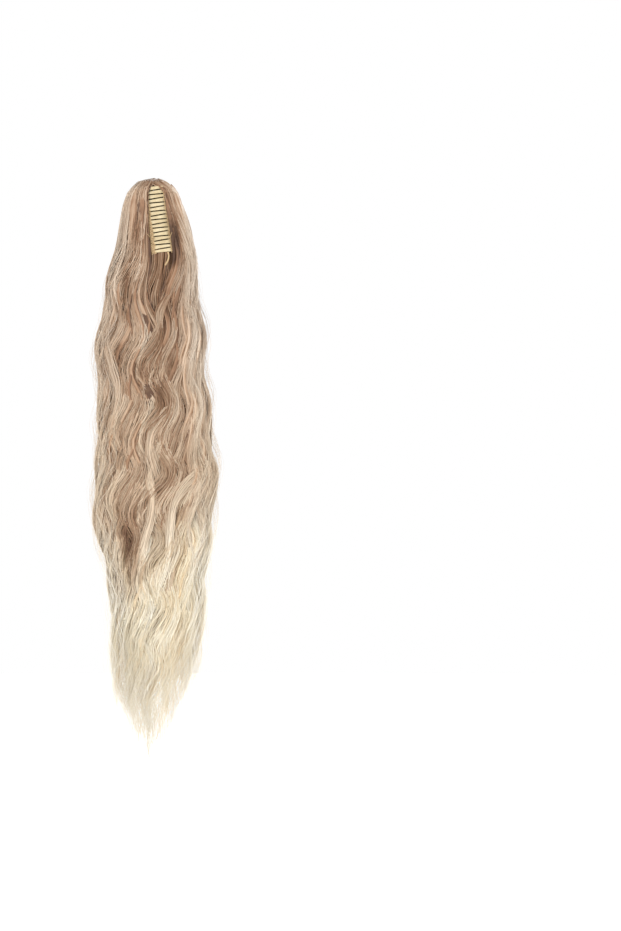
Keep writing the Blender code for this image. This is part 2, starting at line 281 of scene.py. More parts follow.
def cream_net():
    finish = Finish("cream_net")
    where = finish.place()
    weave = finish.bands(where, 420.0, 2.5)
    cloud = finish.noise(where, 260.0)
    base = finish.ramp(cloud, [(0.3, colour(160, 136, 92)), (0.7, colour(192, 170, 126))])
    base = finish.mix(0.35 * weave, base, colour(138, 110, 70))
    normal = finish.bump(weave, 0.5, 0.0004)
    return finish.set(Base_Color=base, Roughness=0.75, Normal=normal)


def sewing_thread():
    finish = Finish("sewing_thread")
    where = finish.place()
    turned = finish.node("Mapping", None, {"Vector": where, "Rotation": (0, 0.6, 0)})
    ply = finish.bands(turned, 330.0, 0.6)
    fuzz = finish.noise(where, 700.0)
    base = finish.ramp(fuzz, [(0.25, colour(190, 160, 116)), (0.75, colour(216, 190, 148))])
    base = finish.mix(0.4 * ply, base, colour(160, 126, 84))
    normal = finish.bump(ply, 0.6, 0.0004)
    return finish.set(Base_Color=base, Roughness=0.7, Normal=normal)


def spring_steel():
    finish = Finish("spring_steel")
    where = finish.place()
    brushed = finish.noise(where, 300.0, 3.0, (1, 1, 12))
    base = finish.ramp(brushed, [(0.3, colour(150, 148, 144)), (0.7, colour(196, 194, 190))])
    rough = 0.28 + 0.2 * brushed
    return finish.set(Base_Color=base, Metallic=1.0, Roughness=rough)


CLIP_FINISHES = {
    "jaw_left": cream_plastic(),
    "net_left": cream_net(),
    "thread_tail": sewing_thread(),
    "hinge_pin": spring_steel(),
}
TWINS = {"jaw_right": "jaw_left", "net_right": "net_left", "hinge_spring": "hinge_pin"}
for twin, original in TWINS.items():
    CLIP_FINISHES[twin] = CLIP_FINISHES[original]
for name, material in CLIP_FINISHES.items():
    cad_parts[name].data.materials.clear()
    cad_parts[name].data.materials.append(material)
print("clip finishes:", len(CLIP_FINISHES))

# %% [markdown]
# ## The outline of the hair
# One table gives the hair's edges at each height, the same that the solids were made from, with
# looser ends at the bottom. `outline_at` reads it on a smooth curve. `hair_form` gives a point on
# the outside: `turn` runs round the hair from +X by the back, so 0.75 is the middle of the front.
# All of it works on whole arrays, so many strands are placed at once. All lengths from here on
# are in millimetres.

# %% Outline
Section = namedtuple("Section", "height left right front back")
HAIR = [
    Section(52, -5, -1, 3, 7),
    Section(49, -22, 7, -9, 21),
    Section(45, -28, 13, -14, 27),
    Section(40, -34, 19, -18, 36),
    Section(20, -44, 29, -21, 46),
    Section(0, -48, 37, -22, 51),
    Section(-40, -55, 46, -22, 53),
    Section(-80, -67, 49, -20, 53),
    Section(-120, -70, 56, -20, 52),
    Section(-175, -81, 58, -22, 54),
    Section(-215, -74, 63, -24, 55),
    Section(-260, -78, 65, -26, 55),
    Section(-310, -77, 73, -27, 54),
    Section(-350, -82, 69, -28, 52),
    Section(-400, -74, 65, -28, 50),
    Section(-450, -62, 58, -26, 46),
    Section(-510, -60, 56, -23, 41),
    Section(-550, -60, 50, -18, 34),
    Section(-592, -58, 43, -14, 28),
    Section(-625, -50, 32, -11, 23),
    Section(-665, -38, 18, -6, 16),
]
HAIR_TOP = 52
HAIR_END = -592                  # where the solids' backing ends and the waves are shortest
TIPS_AT = -660
WAVE_TOP = 97                    # length of a wave at the top
WAVE_TIPS = 75                   # and at the tips
WAVE_SWING = 0.22                # how far a wave swings, in widths of a main lock
MAIN_LOCKS = 11                  # locks round the solids
LOCK_DEPTH = 6.5                 # of the furrow between two of them
SQUARE = 0.82                    # the section is a little squarer than an ellipse
CENTRE_DEPTH = 8                 # depth of the line that the hair stands round
TABLE = np.array(HAIR, float)
SLOPES = np.gradient(TABLE[:, 1:], -TABLE[:, 0], axis=0)


def fade(value, start, end):
    """Rises smoothly from 0 at the start to 1 at the end."""
    share = np.clip((value - start) / (end - start), 0, 1)
    return share * share * (3 - 2 * share)


def outline_at(height):
    """Left, right, front and back edges at each height."""
    rows = -TABLE[:, 0]
    start = np.clip(np.searchsorted(rows, -height, side="right") - 1, 0, len(rows) - 2)
    gap = (rows[start + 1] - rows[start])[..., None]
    t = np.clip((-height - rows[start])[..., None] / gap, 0, 1)
    a, b = TABLE[start, 1:], TABLE[start + 1, 1:]
    leaving, arriving = SLOPES[start] * gap, SLOPES[start + 1] * gap
    curve = a + leaving * t + (3 * (b - a) - 2 * leaving - arriving) * t**2
    curve = curve + (2 * (a - b) + leaving + arriving) * t**3
    return np.moveaxis(curve, -1, 0)


def wave_phase(height):
    depth = HAIR_TOP - height
    faster = (1 / WAVE_TIPS - 1 / WAVE_TOP) / (2 * (HAIR_TOP - HAIR_END))
    return 2 * np.pi * depth * (1 / WAVE_TOP + faster * depth)


def signed_power(value, power):
    return np.sign(value) * np.abs(value) ** power


def hair_form(height, turn):
    """Points on the plain outside of the hair, and the middle that they stand round."""
    left, right, front, back = outline_at(height)
    angle = 2 * np.pi * turn
    across, along = np.cos(angle), np.sin(angle)
    deep = np.where(along > 0, back, -front)
    middle = (left + right) / 2
    x = middle + (right - left) / 2 * signed_power(across, SQUARE)
    y = deep * signed_power(along, SQUARE)
    return x, y, middle


print("outline at the clip:", np.round(outline_at(np.array([0.0])).ravel(), 1))

# %% [markdown]
# ## The window over the teeth
# The hair stops at both sides of the clip's teeth and closes above and below them. The clip
# leans by 8 degrees, and the hair covers its upper left corner, so the window's left edge hangs
# straight and its right edge leans. `window_edge` says which share of each half of the hair,
# counted from the middle of the front, the window takes at a height. It is read from a table,
# because the section has no simple formula for the share at a place across.

# %% Window
WINDOW_LEFT = (-13.6, 0.02)      # where the left edge is at height 0, and how it leans
WINDOW_RIGHT = (15.0, -0.25)     # the right edge leans as the clip does, but more
WINDOW_TOP, CLOSED_ABOVE = 38, 43
WINDOW_BOTTOM, CLOSED_BELOW = -40, -150
side_shares = np.linspace(0, 0.6, 121)
side_heights = np.linspace(WINDOW_BOTTOM, HAIR_TOP, 93)


def window_limit(side, height):
    place, lean = WINDOW_RIGHT if side > 0 else WINDOW_LEFT
    return place + lean * height


def edge_table(side):
    """The share that the window takes of one half of the hair, for each height."""
    edges = []
    for height in side_heights:
        turn = 0.75 + side * side_shares / 2
        x = hair_form(np.full_like(turn, height), turn)[0]
        edges.append(np.interp(side * window_limit(side, height), side * x, side_shares))
    return np.array(edges)


EDGES = {side: edge_table(side) for side in (-1, 1)}


def window_edge(side, height):
    share = np.interp(height, side_heights, EDGES[side])
    open_above = 1 - fade(height, WINDOW_TOP, CLOSED_ABOVE)
    open_below = 1 - fade(-height, -WINDOW_BOTTOM, -CLOSED_BELOW)
    return share * open_above * open_below


print("window takes", np.round([window_edge(side, 0.0) for side in (-1, 1)], 3), "of each half")

# %% [markdown]
# ## Tubes from arrays
# A strand is a thin closed tube. One tube is modelled with bmesh: a circle, extruded ring by
# ring, and closed at both ends. Its arrays are then repeated, and every ring is moved to its
# place on its own strand. That makes hundreds of strands one joined mesh in a blink, which no
# loop over bmesh could do.

# %% Tubes
def tube_pattern(sides, rings):
    """One straight tube: its points, as high as their ring's number, and its faces' corners."""
    bm = bmesh.new()
    bmesh.ops.create_circle(bm, segments=sides, radius=1.0)
    edges = list(bm.edges)
    for _ in range(rings - 1):
        grown = bmesh.ops.extrude_edge_only(bm, edges=edges)["geom"]
        verts = [part for part in grown if isinstance(part, bmesh.types.BMVert)]
        bmesh.ops.translate(bm, verts=verts, vec=(0, 0, 1))
        fresh = set(verts)
        edges = [part for part in grown if isinstance(part, bmesh.types.BMEdge)]
        edges = [edge for edge in edges if set(edge.verts) <= fresh]
    bmesh.ops.holes_fill(bm, edges=bm.edges)
    bmesh.ops.recalc_face_normals(bm, faces=bm.faces)
    bm.verts.index_update()
    place = np.array([vert.co for vert in bm.verts])
    corners = [[vert.index for vert in face.verts] for face in bm.faces]
    bm.free()
    return place, corners


def joined_mesh(name, points, corners, copies, uv):
    """Copies of one pattern as a single mesh, with a UV map for their colour."""
    each = len(points) // copies
    lengths = np.array([len(face) for face in corners])
    flat = np.concatenate([np.array(face) for face in corners])
    loops = (flat[None, :] + each * np.arange(copies)[:, None]).ravel()
    totals = np.tile(lengths, copies)
    mesh = bpy.data.meshes.new(name)
    mesh.vertices.add(len(points))
    mesh.vertices.foreach_set("co", (points * MM).astype(np.float32).ravel())
    mesh.loops.add(len(loops))
    mesh.loops.foreach_set("vertex_index", loops.astype(np.int32))
    mesh.polygons.add(len(totals))
    starts = np.concatenate([[0], np.cumsum(totals)[:-1]])
    mesh.polygons.foreach_set("loop_start", starts.astype(np.int32))
    mesh.update(calc_edges=True)
    layer = mesh.uv_layers.new(name="OFBake")
    layer.uv.foreach_set("vector", uv[loops].astype(np.float32).ravel())
    mesh.shade_smooth()
    thing = bpy.data.objects.new(name, mesh)
    scene.collection.objects.link(thing)
    return thing


def triangles(thing):
    return sum(len(face.vertices) - 2 for face in thing.data.polygons)


def corner_of(place):
    """Which corner of its ring each point of a tube pattern is."""
    sides = int((place[:, 2] == 0).sum())
    turn = np.arctan2(place[:, 1], place[:, 0]) / (2 * np.pi)
    return np.round(turn * sides).astype(int) % sides


def tubes(name, lines, outward, wide, thick, tone, age, sides=3, streaks=None):
    """Closed tubes along lines, each ring with its own width and thickness, tone and age."""
    count, rings = lines.shape[:2]
    place, corners = tube_pattern(sides, rings)
    ring = np.round(place[:, 2]).astype(int)
    along = np.gradient(lines, axis=1)
    along /= np.linalg.norm(along, axis=2, keepdims=True)
    out = outward - along * (outward * along).sum(2, keepdims=True)
    out /= np.maximum(np.linalg.norm(out, axis=2, keepdims=True), 1e-9)
    beside = np.cross(along, out)
    points = lines[:, ring]
    points = points + out[:, ring] * (thick[:, ring] * place[:, 0])[..., None]
    points = points + beside[:, ring] * (wide[:, ring] * place[:, 1])[..., None]
    tones = tone[:, ring]
    if streaks is not None:
        tones = tones + streaks[:, corner_of(place)]
    uv = np.clip(np.stack([tones, age[:, ring]], axis=-1), 0.01, 0.99)
    return joined_mesh(name, points.reshape(-1, 3), corners, count, uv.reshape(-1, 2))


place, corners = tube_pattern(3, 5)
print("a short tube has", len(place), "points and", len(corners), "faces")

# %% [markdown]
# ## How a strand flows
# Each strand has a place in its half of the hair: `share` is 0 at the middle of the front and 1
# at the middle of the back. On its way down it keeps clear of the window, swings to the sides in
# waves that get shorter towards the tips, and comes forward at each crest, so that light catches
# it. `inner` is how deep it lies under the outside. Over the clip the layers lie closer together,
# and the hair beside the window rolls up a little, as it does over a seam. `margin` keeps a wide
# piece off the window's edge, and `free` lets the hair from under the clip run through the window.

# %% Flow
CREST = 3.0                      # how far a wave comes forward
WAVES_FULL = 130                 # how far below the clip's middle the waves are full
KEPT_OFF = 0.06                  # share of the window from which pieces are kept off its edge
ROLL = 2.0
ROLL_WIDE = 0.09                 # as a share of the half


def flow(side, share, height, inner, shift=0.0, swing=1.0, free=0.0, rate=1.0, margin=0.0):
    """Points along strands, and the directions in which they face outward."""
    edge = window_edge(side, height) * (1 - free)
    opened = np.minimum(edge / KEPT_OFF, 1)
    kept_off = np.maximum(np.abs(share), margin)
    share = edge + (1 - edge) * (share + (kept_off - share) * opened)
    turn = 0.75 + side * share / 2
    grow = fade(-height, 0, WAVES_FULL)
    beat = wave_phase(height) * rate + 2 * np.sin(2 * np.pi * turn) + shift
    furrow = 1 - np.abs(np.sin(np.pi * MAIN_LOCKS * turn))
    turn = turn - WAVE_SWING * swing * grow * np.sin(beat) / MAIN_LOCKS
    x, y, middle = hair_form(height, turn)
    out = np.stack([x - middle, y - CENTRE_DEPTH, np.zeros_like(x)], axis=-1)
    out /= np.linalg.norm(out, axis=-1, keepdims=True)
    groove = LOCK_DEPTH * furrow**2 * (0.2 + 0.5 * fade(-height, 0, 100))
    layered = inner * (0.3 + 0.7 * fade(-height, -30, 60))
    beside_clip = fade(height, -60, -30) * (1 - fade(height, WINDOW_TOP, 50))
    roll = ROLL * np.exp(-(((share - edge) / ROLL_WIDE) ** 2)) * beside_clip
    off = CREST * grow * np.cos(beat) - layered - groove + roll
    points = np.stack([x, y, height], axis=-1) + out * off[..., None]
    return points, out


low_down = flow(1, 0.5, np.array([-300.0]), 0.0)[0][0]
print("the right side's middle, 300 mm down, stands at", np.round(low_down[:2], 1))


# %% [markdown]
# ## The colour of the hair
# The hair fades from a brownish beige at the top, over honey, to a pale cream blonde at the
# tips, and every strand is a little darker or lighter than the next. The strands carry this in
# their UV map: `tone` across, from dark brown through ginger and beige to ash cream, and `age`
# down, from the roots to the tips. Four ramps over the tone, one after the other down the hair,
# give the colour, and a little noise on the same map gives streaks. What lies below has a second
# finish with broader streaks, darker as painted shade under the strands.

# %% Hair finish
ROOTS = [
    (0.00, colour(78, 54, 38)), (0.25, colour(142, 106, 78)), (0.50, colour(180, 153, 128)),
    (0.75, colour(208, 189, 168)), (1.00, colour(230, 216, 200)),
]
LENGTHS = [
    (0.00, colour(96, 66, 44)), (0.25, colour(160, 126, 97)), (0.50, colour(200, 174, 147)),
    (0.75, colour(222, 203, 177)), (1.00, colour(240, 227, 208)),
]
TIPS = [
    (0.00, colour(214, 186, 146)), (0.25, colour(240, 220, 184)), (0.50, colour(248, 238, 214)),
    (0.75, colour(250, 243, 226)), (1.00, colour(252, 249, 241)),
]
ENDS = [(0.0, colour(230, 217, 195)), (0.5, colour(241, 233, 215)), (1.0, colour(248, 244, 235))]
TURNING = [(LENGTHS, 0.20, 0.58), (TIPS, 0.54, 0.76), (ENDS, 0.84, 0.98)]
STREAKS_DOWN = 60.0
STREAKS_ACROSS = 3.0             # how much closer the streaks lie across than their scale says


def hair_finish(name, painted_shade, fine, rough):
    finish = Finish(name)
    where = finish.node("UVMap", {"uv_map": "OFBake"})
    tone = finish.node("SeparateXYZ", None, {0: where})
    age = Wire(tone.socket.node.outputs[1])
    streak = finish.noise(where, fine, 2.0, (STREAKS_ACROSS, STREAKS_DOWN / fine, 1.0))
    # painted_shade lowers the tone of the finish below the strands: painted shade.
    shade = tone + (0.20 + painted_shade) * (streak - 0.5) - painted_shade
    base = finish.ramp(shade, ROOTS)
    for stops, start, end in TURNING:
        smooth = {"interpolation_type": "SMOOTHSTEP"}
        turned = finish.node("MapRange", smooth, {0: age, 1: start, 2: end})
        base = finish.mix(turned, base, finish.ramp(shade, stops))
    return finish.set(Base_Color=base, Roughness=rough, Specular_IOR_Level=0.4)


HAIR_FINISH = hair_finish("blonde_hair", painted_shade=0.0, fine=60.0, rough=0.42)
# The finish below is darker: painted shade under the strands.
UNDER_SHADED_FINISH = hair_finish("blonde_hair_below", painted_shade=0.12, fine=7.0, rough=0.6)
print("hair finishes:", HAIR_FINISH.name, "and", UNDER_SHADED_FINISH.name)

# %% [markdown]
# ## Bodies and age
# Each piece rides the body that it is given. The right half of the hair opens with the right jaw
# and is whole again 15 cm lower; its pieces get no body here, and their places are applied to
# their points. `age_at` says how far down its length the hair is, which its colour needs.

# %% Bodies and age
BROWN_LOCK, BROWN_WIDE = -36, 17


def finished(thing, material, body=None):
    """Gives a piece its finish and its body; where none is named, applies its place to its points."""
    thing.data.materials.append(material)
    if body:
        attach(thing, body)
    else:
        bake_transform(thing)
    print(thing.name, triangles(thing), "triangles")
    return thing


def age_at(points, shift=0.0):
    """How far down its length the hair is, 0 to 1.

    The right turns pale sooner, and a lock left of the middle stays brown for longer.
    """
    x, height = points[..., 0], points[..., 2]
    sooner = 0.05 * fade(x, 0, 50) * fade(-height, 250, 400)
    brown = np.exp(-(((x - BROWN_LOCK) / BROWN_WIDE) ** 2))
    later = 0.10 * brown * fade(-height, 270, 350) * (1 - fade(-height, 430, 510))
    return np.clip((HAIR_TOP - height) / (HAIR_TOP - TIPS_AT) + sooner - later + shift, 0, 1)


print("age at the clip:", np.round(age_at(np.zeros(3)), 2))


# %% [markdown]
# ## Painted shade in dark pockets, ginger streaks and pale patches
# A short table holds where the hair's inner side is darker, warmer or paler than around it. Its
# dark patches are painted shade in the pockets beside and below the clip and between locks. The
# tone of each strand is shifted where it passes such a patch. The edges of the hair are paler, as
# painted light over the shade at the outline, and the hair beside the window is darker, as painted
# shade next to the clip.

# %% Patches
Patch = namedtuple("Patch", "x z wide high tone")
# Painted light at the edges and painted shade beside the window, as shifts of tone.
EDGE_PAINTED_LIGHT = 0.18
FRONT_DARKER = 0.06
PAINTED_SHADE_BESIDE_WINDOW = 0.18
BESIDE_WIDE = 9
# Patches with a negative tone are painted shade in pockets beside and below the clip and between locks.
SHADE_AND_TONE_PATCHES = [
    Patch(-29, -8, 5, 30, -0.30),
    Patch(21, -28, 5, 26, -0.42),
    Patch(-41, -78, 7, 26, -0.28),
    Patch(9, -100, 7, 44, -0.26),
    Patch(-51, -168, 6, 18, -0.26),
    Patch(-25, -198, 8, 16, -0.22),
    Patch(14, -175, 7, 20, -0.12),
    Patch(26, -210, 13, 90, 0.12),
    Patch(2, -215, 7, 30, -0.24),
    Patch(-38, -398, 11, 30, -0.34),
    Patch(-66, -240, 8, 30, -0.20),
    Patch(-50, -10, 9, 60, 0.10),
    Patch(44, -60, 9, 60, 0.10),
    Patch(52, -180, 10, 60, 0.12),
    Patch(-76, -300, 9, 90, 0.12),
]


def tone_with_painted_light(tone, points):
    """The tone of hair that passes the given points, with painted light at the edges, painted shade
    beside the window and the patches in it.
    """
    x, y, z = np.moveaxis(points, -1, 0)
    front = fade(-y, -25, 5)
    left, right = outline_at(z)[:2]
    off_middle = np.abs(x - (left + right) / 2) / ((right - left) / 2 + 1)
    # Paler edges: painted light over the shade at the outline.
    painted_edge_light = EDGE_PAINTED_LIGHT * fade(off_middle, 0.5, 0.95) * fade(-y, -45, -10)
    tone = tone + (painted_edge_light - FRONT_DARKER * front) * (1 - fade(-z, 400, 520))
    # Darker beside the window: painted shade next to the clip.
    off_window = np.maximum(window_limit(-1, z) - x, x - window_limit(1, z))
    beside = np.exp(-((off_window / BESIDE_WIDE) ** 2)) * fade(z, -80, -45)
    tone = tone - PAINTED_SHADE_BESIDE_WINDOW * front * beside
    # Dark patches paint shade in pockets, and pale ones make the hair paler.
    for patch in SHADE_AND_TONE_PATCHES:
        across = (x - patch.x) / patch.wide
        down = (z - patch.z) / patch.high
        tone = tone + patch.tone * front * np.exp(-across**2 - down**2)
    return tone


print(len(SHADE_AND_TONE_PATCHES), "patches")


# %% [markdown]
# ## Locks
# Hair gathers in locks 12 to 22 mm wide. Each half has 36 of them, with their own place, wave,
# depth, colour and length. A lock is built twice: as a flattened tube that fills it, and as the
# strands that lie over it. The hem, a line through ten places, says how low the locks reach.

# %% Lock table
LOCKS_A_HALF = 36
RINGS = 60                       # along each strand and each filling
HALF_ROUND = 170                 # half of the way round the hair
HEM_MEASURED = -450              # height at which a lock's place above the hem is taken
ANY_TURN = 6.28                  # a random place in a wave

Lock = namedtuple("Lock", "side share inner shift rate swing half drift pace tone bottom")
HEM_ACROSS = [-75, -62, -50, -38, -14, 6, 26, 44, 56, 70]
HEM_HEIGHT = [-530, -596, -628, -650, -664, -656, -634, -604, -570, -510]


def make_locks(side):
    locks = []
    for k in range(LOCKS_A_HALF):
        share = (k + 0.5 + rng.uniform(-0.4, 0.4)) / LOCKS_A_HALF
        turn = np.array([0.75 + side * share / 2])
        x = hair_form(np.array([HEM_MEASURED], float), turn)[0][0]
        bottom = np.interp(x, HEM_ACROSS, HEM_HEIGHT) + abs(rng.normal(0, 14))
        inner = rng.uniform(0, 6)
        # A deeper lock gets a darker tone: painted shade.
        locks.append(Lock(
            side=side, share=share, bottom=bottom, inner=inner, shift=rng.normal(0, 0.7),
            rate=rng.normal(0.96, 0.04), swing=rng.uniform(0.4, 1.1), half=rng.uniform(6, 11),
            drift=rng.normal(0, 6), pace=rng.uniform(0, ANY_TURN),
            tone=rng.normal(0.58, 0.11) - 0.03 * inner,
        ))
    return locks


LOCKS = make_locks(-1) + make_locks(1)
print(len(LOCKS), "locks, the lowest to", round(min(lock.bottom for lock in LOCKS)), "mm")


def lock_share(lock, height):
    """Where a lock's middle is, as it drifts to the sides on its way down."""
    drift = lock.drift * fade(-height, 0, 160) * np.sin(height / 60 + lock.pace)
    return lock.share + drift / HALF_ROUND


def downward(count):
    """Places of the rings along a strand, 0 to 1, closer together over the round crown."""
    steps = 1 - 0.78 * np.exp(-np.linspace(0, 16, count))
    steps[0] = 0
    return (np.cumsum(steps) / steps.sum())[None, :]


# %% [markdown]
# ## The core
# Under the locks there is more hair, too deep to see. A closed form fills the fall, a fifth
# slimmer than the hair and ribbed like it, and slimmer still at both ends. It is one tube of the
# same pattern as the strands, with 66 sides, and its front is hollowed under the clip. Its dark
# tone is painted shade between the locks.

# %% Core
CORE = 0.80                      # its width, as a share of the hair's
CORE_RIB = 0.02
CORE_SIDES = 66
CORE_SHADE_TONE = 0.14
HOLLOW = 8                       # depth of the hollow under the clip
HOLLOW_AT, HOLLOW_WIDE = 6, 18
core_heights = np.linspace(-48, -520, 60)


def core_ring(height, count):
    turn = np.arange(count) / count
    heights = np.full(count, float(height))
    x, y, middle = hair_form(heights, turn)
    rib = CORE_RIB * np.cos(2 * np.pi * MAIN_LOCKS * turn + wave_phase(heights))
    slim_below = 1 - 0.5 * fade(-heights, 380, 530)
    slim_above = 0.6 + 0.4 * fade(-heights, 40, 95)
    slim = (CORE + rib) * slim_below * slim_above
    hollow = HOLLOW * np.exp(-(((x - HOLLOW_AT) / HOLLOW_WIDE) ** 2))
    hollow = hollow * (y < CENTRE_DEPTH) * (1 - fade(-heights, 80, 170))
    depth = CENTRE_DEPTH + (y - CENTRE_DEPTH) * slim + hollow
    return np.stack([middle + (x - middle) * slim, depth, heights], -1)


rings = np.array([core_ring(height, CORE_SIDES) for height in core_heights])
place, corners = tube_pattern(CORE_SIDES, len(core_heights))
ring = np.round(place[:, 2]).astype(int)
corner = corner_of(place)
core_points = rings[len(core_heights) - 1 - ring, corner]
# The core's dark tone is painted shade between the locks.
core_tone = CORE_SHADE_TONE + 0.06 * np.cos(9.0 * corner)
core_uv = np.stack([np.clip(core_tone, 0.01, 0.99), age_at(core_points)], -1)
core = joined_mesh("hair_core", core_points, corners, 1, core_uv)
finished(core, UNDER_SHADED_FINISH, "root")
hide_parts("hair_fall")

# %% [markdown]
# ## The cap
# Over the clip, where the hair has to open with the right jaw, two thin curved shells stand for
# the wefts, one on each jaw. Each is a grid laid on the hair's form, 16 % slimmer, and given a
# wall. The right one stops at the side, because behind it the hair is pushed together when the
# clip opens. A small dome, half of a flattened sphere, holds the roots at the top. All three are
# dark, as painted shade under the strands.

# %% Cap
CAP = 0.84                       # its width, as a share of the hair's
CAP_TOP = 46.0
CAP_BOTTOM = -62.0
CAP_BACK = {-1: 0.985, 1: 0.5}   # how far back each part reaches, as a share of its half
CAP_WALL = 1.6
# Dark tone of the cap and the dome: painted shade under the strands.
CAP_SHADE_TONE = 0.16
OFF_WINDOW = 0.035               # how far the cap stays behind the window's edge
DOME_SIZE = (17, 18, 7.5)
DOME_PLACE = (-7.5, 6, 42.5)


def under_piece(name, bm):
    """An object from a bmesh, dark as painted shade, with the same UV map for its colour as the strands.
    """
    bmesh.ops.recalc_face_normals(bm, faces=bm.faces)
    uv = bm.loops.layers.uv.new("OFBake")
    for face in bm.faces:
        for loop in face.loops:
            loop[uv].uv = (CAP_SHADE_TONE, float(age_at(np.array(loop.vert.co) / MM)))
    mesh = bpy.data.meshes.new(name)
    bm.to_mesh(mesh)
    bm.free()
    mesh.shade_smooth()
    thing = bpy.data.objects.new(name, mesh)
    scene.collection.objects.link(thing)
    return thing


def roots_dome(name):
    """Half of a flattened sphere, where the roots meet above the clip."""
    bm = bmesh.new()
    bmesh.ops.create_uvsphere(bm, u_segments=32, v_segments=16, radius=1.0)
    parts = list(bm.verts) + list(bm.edges) + list(bm.faces)
    bmesh.ops.bisect_plane(bm, geom=parts, plane_co=(0, 0, 0), plane_no=(0, 0, 1), clear_inner=True)
    bmesh.ops.holes_fill(bm, edges=[edge for edge in bm.edges if edge.is_boundary])
    bmesh.ops.scale(bm, verts=bm.verts, vec=Vector(DOME_SIZE) * MM)
    bmesh.ops.translate(bm, verts=bm.verts, vec=Vector(DOME_PLACE) * MM)
    return under_piece(name, bm)


def weft_cap(name, side):
    """One part of the cap: a grid laid on the hair's form, given a wall."""
    bm = bmesh.new()
    bmesh.ops.create_grid(bm, x_segments=30, y_segments=34, size=1)
    bm.normal_update()
    for vert in bm.verts:
        along = (vert.co.x + 1) / 2
        down = (vert.co.y + 1) / 2
        height = CAP_TOP + (CAP_BOTTOM - CAP_TOP) * down
        edge = float(window_edge(side, height)) + OFF_WINDOW
        share = edge + (CAP_BACK[side] - edge) * along
        turn = np.array([0.75 + side * share / 2])
        x, y, middle = (float(part[0]) for part in hair_form(np.array([height]), turn))
        vert.co = (middle + (x - middle) * CAP, CENTRE_DEPTH + (y - CENTRE_DEPTH) * CAP, height)
    for vert in bm.verts:
        vert.co *= MM
    bmesh.ops.recalc_face_normals(bm, faces=bm.faces)
    centre = Vector((0, CENTRE_DEPTH * MM, 0))
    facing = sum((face.calc_center_median() - centre).dot(face.normal) for face in bm.faces)
    bmesh.ops.solidify(bm, geom=bm.faces, thickness=math.copysign(CAP_WALL * MM, facing))
    return under_piece(name, bm)


cap_left = finished(weft_cap("cap_left", -1), UNDER_SHADED_FINISH, "root")
finished(weft_cap("cap_right", 1), UNDER_SHADED_FINISH, "right_jaw")
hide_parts("hair_crown")
finished(roots_dome("roots_dome"), UNDER_SHADED_FINISH, "root")

# %% [markdown]
# ## Filling tubes of the locks
# Each lock is filled by a tube four fifths as wide and 5 mm thick, which lies under its strands
# and is darker, as painted shade under them. Its corners differ in tone, so that what shows of it
# between the strands looks like more hair. It ends 7 cm above the lock's own end, so the tips stay
# thin.

# %% Lock fillings
FILLING_SIDES = 12
FILLING_WIDE = 0.8               # as a share of the lock
FILLING_HALF = 2.6               # half of its thickness
FILLING_DEEPER = 7.5             # under the lock's outside
FILLING_ABOVE = 70               # the lock's end
FILLING_PAINTED_SHADE = 0.08


def lock_fillings(name, locks, body):
    down = downward(RINGS)
    tops = [rng.uniform(30, 42) if lock.share > 0.1 else rng.uniform(-36, 30) for lock in locks]
    top = np.array(tops)[:, None]
    bottom = np.array([lock.bottom + FILLING_ABOVE for lock in locks])[:, None]
    height = top + (bottom - top) * down
    placed = []
    for row, lock in zip(height, locks):
        inner = lock.inner + FILLING_DEEPER
        margin = lock.half / HALF_ROUND
        share = lock_share(lock, row)
        placed.append(flow(
            lock.side, share, row, inner, lock.shift, lock.swing, rate=lock.rate, margin=margin,
        ))
    lines, facing = (np.array(part) for part in zip(*placed))
    taper = np.sqrt(np.clip(1 - down**3, 0.004, 1)) * fade(down + 0.03, 0, 0.06)
    half = np.array([lock.half for lock in locks])[:, None]
    wide = half * FILLING_WIDE * taper
    thick = FILLING_HALF * taper * np.ones_like(half)
    # The filling is darker than its lock: painted shade under the strands.
    tone = np.array([lock.tone for lock in locks])[:, None] - FILLING_PAINTED_SHADE + 0 * height
    streaks = rng.normal(0, 0.10, (len(locks), FILLING_SIDES))
    tone, age = tone_with_painted_light(tone, lines), age_at(lines)
    made = tubes(name, lines, facing, wide, thick, tone, age, FILLING_SIDES, streaks)
    return finished(made, UNDER_SHADED_FINISH, body)


lock_fillings("locks_left", [lock for lock in LOCKS if lock.side < 0], "root")
lock_fillings("locks_right", [lock for lock in LOCKS if lock.side > 0], None)

# %% [markdown]
# ## Strands
# A strand stands for a few hairs that cling together: a flat band 1.2 to 2 mm wide that thins
# to its tip. Half of a lock's strands start at the crown and half lower down, at the net. They
# gather towards the lock's middle. Each keeps its own small place in it, across and in depth, and
# its own small error in the wave. Front, side and back are separate pieces, so that none is too
# large.

# %% Strands of the locks
STRANDS_A_LOCK = {"front": 34, "side": 27, "back": 17}
FLAT = 1.9                       # how much wider than round a strand is
FROM_CROWN = 46                  # strands that start below this height start at the net
LOWEST = -668
LOCK_ROUND = 3.5                 # how much lower a lock's edges lie than its middle
ROOT_DEPTH = 5                   # how deep a root starts under the outside


